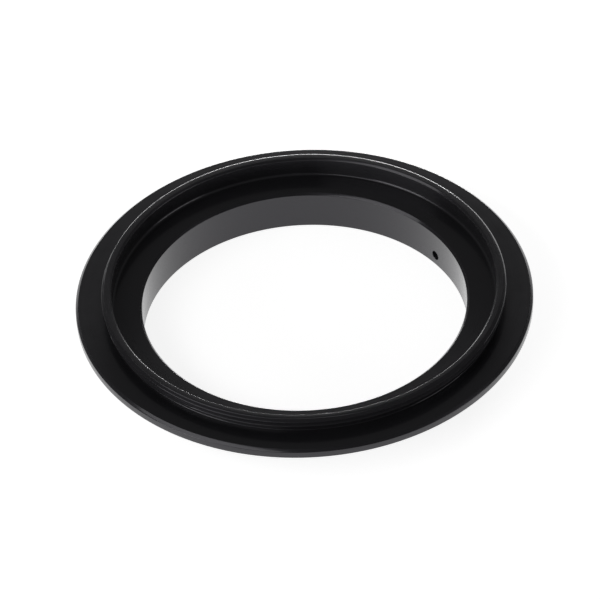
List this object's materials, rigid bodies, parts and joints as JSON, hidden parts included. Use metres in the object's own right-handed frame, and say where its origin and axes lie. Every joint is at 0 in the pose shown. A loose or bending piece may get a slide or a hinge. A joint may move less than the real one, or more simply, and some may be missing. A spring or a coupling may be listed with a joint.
{
  "type": "reverse macro adapter",
  "caption": "Flat black ring that mounts a lens back to front: fine outside filter thread, wide flange, clear bore and a bayonet tube for the camera.",
  "frame": {"origin": "centre of the flange's camera-side seating face, on the optical axis", "axes": "+Z along the optical axis towards the reversed lens, -Z into the camera, +X to the right of the picture with the ring standing on its bayonet tube"},
  "size_m": [0.0656, 0.0656, 0.009],
  "materials": {
    "anodised_aluminium": "satin black anodised, turned",
    "screw_steel": "black oxide"
  },
  "bodies": {
    "root": {"adapter_ring": "anodised_aluminium", "stop_screw": "screw_steel"}
  },
  "joints": []
}
